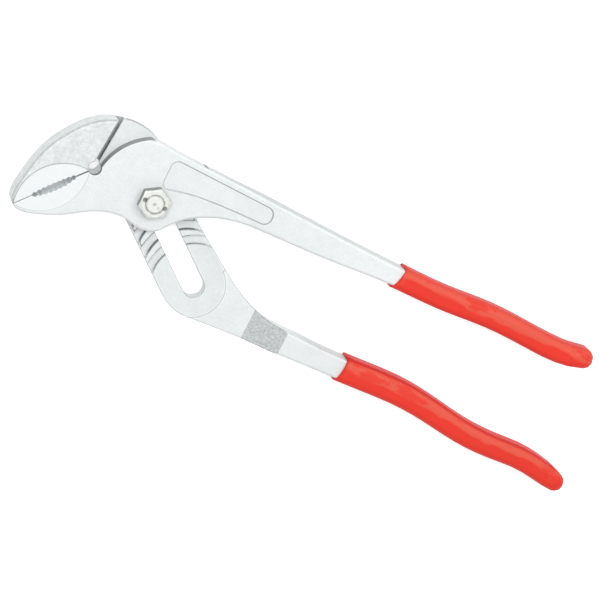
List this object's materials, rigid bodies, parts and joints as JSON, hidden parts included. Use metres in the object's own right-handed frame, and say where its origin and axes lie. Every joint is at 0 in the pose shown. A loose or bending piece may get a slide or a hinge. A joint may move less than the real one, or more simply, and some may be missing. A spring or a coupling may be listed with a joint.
{
  "type": "slip joint pliers",
  "caption": "Tongue-and-groove slip joint pliers: forged steel levers with toothed jaws, a grooved slot, a pivot bolt with a hex nut, and dipped red grips.",
  "frame": {"origin": "centre of the pivot bolt head's outer face, the lowest face of the pliers as they lie", "axes": "+Z along the bolt towards its nut, +X from the jaws towards the handles, +Y from the rear lever's handle towards the front lever's handle"},
  "size_m": [0.3003, 0.0751, 0.0204],
  "materials": {
    "front_steel": "blasted and plated",
    "rear_steel": "blasted and plated",
    "bolt_steel": "satin plated",
    "nut_steel": "satin plated",
    "front_grip_red": "glossy dipped",
    "rear_grip_red": "glossy dipped"
  },
  "bodies": {
    "rear_lever": {"rear_lever": "rear_steel", "rear_grip": "rear_grip_red"},
    "pivot_bolt": {"pivot_bolt": "bolt_steel", "lock_nut": "nut_steel"},
    "front_lever": {"front_lever": "front_steel", "front_grip": "front_grip_red"}
  },
  "joints": [
    {"name": "slot_slide", "type": "slide", "parent": "rear_lever", "child": "pivot_bolt", "axis": [0.7815, -0.6239, 0], "range_m": [0, 0.0456]},
    {"name": "jaw_pivot", "type": "hinge", "parent": "pivot_bolt", "child": "front_lever", "pos_m": [0, 0, 0], "axis": [0, 0, 1], "range_deg": [0, 75]}
  ]
}
